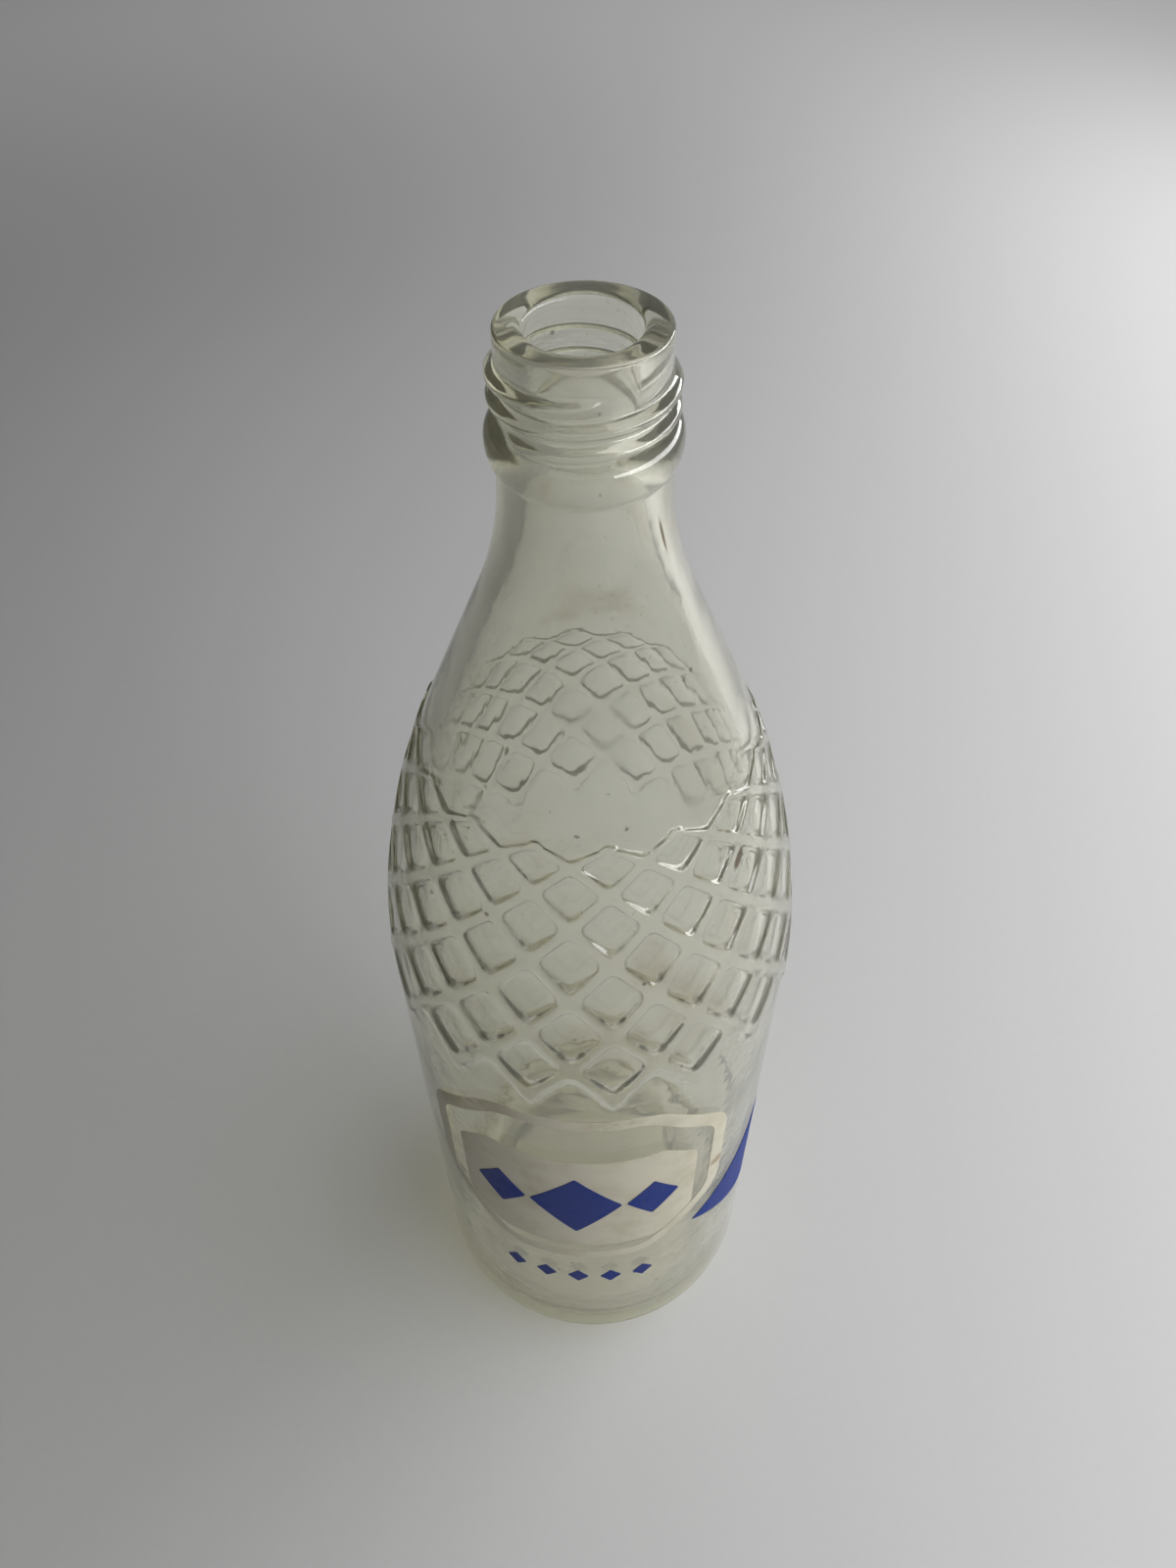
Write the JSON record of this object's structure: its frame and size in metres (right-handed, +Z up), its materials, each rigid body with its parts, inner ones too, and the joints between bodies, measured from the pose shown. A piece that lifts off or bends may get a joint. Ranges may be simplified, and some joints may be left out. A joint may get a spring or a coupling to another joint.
{
  "type": "glass soda bottle",
  "caption": "Clear returnable soda bottle of moulded glass with a diamond lattice shoulder, long neck, bare screw mouth and printed enamel decoration.",
  "frame": {"origin": "centre of the foot, on the plane the bottle stands on", "axes": "+Z up the bottle's axis, the middle of the front print faces -Y, +X to the right of that print"},
  "size_m": [0.0874, 0.0876, 0.286],
  "materials": {
    "clear_glass": "moulded flint glass, lightly scuffed",
    "white_enamel": "worn fired-on enamel",
    "blue_enamel": "worn fired-on enamel"
  },
  "bodies": {
    "root": {"glass_bottle": "clear_glass", "print_frame": "white_enamel", "print_field": "white_enamel", "lozenge_middle": "blue_enamel", "lozenge_left": "blue_enamel", "lozenge_right": "blue_enamel", "lozenge_row": "blue_enamel", "lozenge_side": "blue_enamel"}
  },
  "joints": []
}
